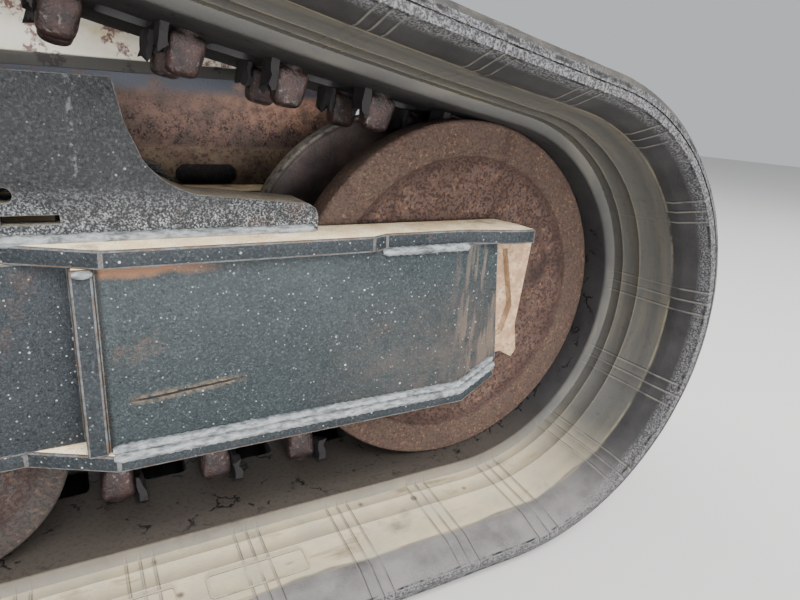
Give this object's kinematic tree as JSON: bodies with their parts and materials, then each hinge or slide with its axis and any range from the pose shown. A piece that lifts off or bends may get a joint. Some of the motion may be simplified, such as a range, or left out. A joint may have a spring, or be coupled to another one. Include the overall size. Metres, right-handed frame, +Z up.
{
  "type": "track undercarriage",
  "caption": "Right-hand track undercarriage of a compact track loader: rubber track, beams, idlers, rollers, raised drive sprocket and chassis side rail.",
  "frame": {"origin": "on the ground, at the centre of the tread bar nearest the middle of the wheelbase", "axes": "+X forward to the front idler, +Y inboard to the machine, +Z up"},
  "size_m": [2.0621, 0.589, 0.7669],
  "materials": {
    "track_rubber": "dusty worn rubber",
    "rusty_steel": "rusted, pitted",
    "bare_steel": "dull steel",
    "dirty_steel": "dirt over rust",
    "roller_steel": "worn rims, rust",
    "sprocket_steel": "greasy rust",
    "charcoal_paint": "worn charcoal paint",
    "rail_rust": "rust through paint",
    "cream_paint": "cream, rust spots"
  },
  "bodies": {
    "root": {"chassis_rail": "rail_rust", "chassis_side_plate": "cream_paint", "drive_motor": "charcoal_paint", "drive_sprocket": "sprocket_steel", "final_drive": "charcoal_paint", "front_cross_member": "charcoal_paint", "front_idler_yoke": "dirty_steel", "front_mount_arm": "charcoal_paint", "idler_axles": "bare_steel", "inner_beam_bottom_flange": "charcoal_paint", "inner_beam_end_covers": "charcoal_paint", "inner_beam_stiffeners": "charcoal_paint", "inner_beam_top_flange": "charcoal_paint", "inner_beam_web": "charcoal_paint", "inner_bracket_plates": "charcoal_paint", "middle_bulkhead": "charcoal_paint", "outer_beam_bottom_flange": "charcoal_paint", "outer_beam_end_covers": "charcoal_paint", "outer_beam_stiffeners": "charcoal_paint", "outer_beam_top_flange": "charcoal_paint", "outer_beam_web": "charcoal_paint", "outer_bracket_plates": "charcoal_paint", "rear_cross_member": "charcoal_paint", "rear_idler_carriers": "dirty_steel", "rear_mount_arm": "charcoal_paint", "roller_shafts": "bare_steel", "sprocket_cover": "charcoal_paint", "tensioner_cylinder": "charcoal_paint", "tensioner_rod": "bare_steel", "track_belt": "track_rubber", "track_rollers": "roller_steel"},
    "front_idler": {"front_idler_wheel": "rusty_steel"},
    "rear_idler": {"rear_idler_wheel": "rusty_steel"}
  },
  "joints": [
    {"name": "front_idler_spin", "type": "hinge", "parent": "root", "child": "front_idler", "pos_m": [0.771, 0, 0.2253], "axis": [0, 1, 0], "continuous": true},
    {"name": "rear_idler_spin", "type": "hinge", "parent": "root", "child": "rear_idler", "pos_m": [-0.83939, 0, 0.2253], "axis": [0, 1, 0], "continuous": true}
  ]
}
